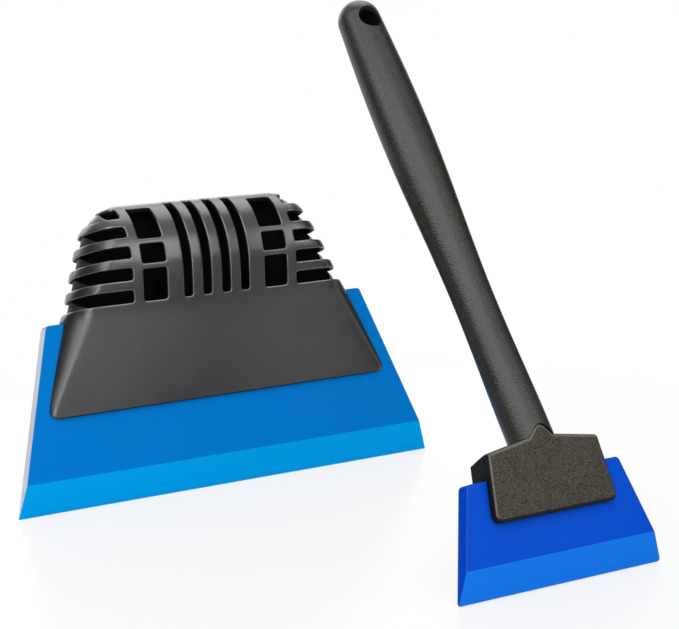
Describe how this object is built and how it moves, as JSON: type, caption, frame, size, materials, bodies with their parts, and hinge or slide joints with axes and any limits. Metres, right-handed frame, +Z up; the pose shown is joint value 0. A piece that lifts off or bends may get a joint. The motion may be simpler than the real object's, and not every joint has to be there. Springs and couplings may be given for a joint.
{
  "type": "windshield ice scraper set",
  "caption": "Palm ice scraper with a wide clamped blade and slotted cage grip, and a long-handled scraper with a small clamped blade.",
  "frame": {"origin": "middle of the palm scraper's grip, where the hand holds it, at the height of its bulge and on its parting plane", "axes": "+X along both blade edges, to the right seen from the front; +Y to the back, the way both scrapers lean; +Z up from the floor on which both blade edges stand"},
  "size_m": [0.202, 0.2254, 0.2119],
  "materials": {
    "grip_black": "satin moulded black plastic",
    "core_black": "dull moulded black plastic",
    "handle_grey": "finely grained dark grey plastic",
    "head_grey": "finely grained dark grey plastic",
    "palm_blade_blue": "smooth bright blue plastic",
    "long_blade_blue": "smooth deep blue plastic",
    "screw_steel": "zinc plated"
  },
  "bodies": {
    "palm_grip": {"palm_front_shell": "grip_black", "palm_rear_shell": "grip_black", "palm_core_web": "core_black", "palm_shell_screw_1": "screw_steel", "palm_shell_screw_2": "screw_steel", "palm_shell_screw_3": "screw_steel", "palm_shell_screw_4": "screw_steel"},
    "palm_blade": {"palm_blade": "palm_blade_blue"},
    "long_scraper": {"long_handle": "handle_grey", "long_rear_jaw": "head_grey", "long_front_plate": "head_grey", "long_jaw_screw_1": "screw_steel", "long_jaw_screw_2": "screw_steel", "long_jaw_screw_3": "screw_steel"},
    "long_blade": {"long_blade": "long_blade_blue"}
  },
  "joints": [
    {"name": "palm_blade_slide", "type": "slide", "parent": "palm_grip", "child": "palm_blade", "axis": [1, 0, 0], "range_m": [-0.175, 0.175]},
    {"name": "long_scraper_lift", "type": "slide", "parent": "palm_grip", "child": "long_scraper", "axis": [0, 0, 1], "range_m": [0, 0.2]},
    {"name": "long_blade_slide", "type": "slide", "parent": "long_scraper", "child": "long_blade", "axis": [1, 0, 0], "range_m": [-0.074, 0.074]}
  ]
}
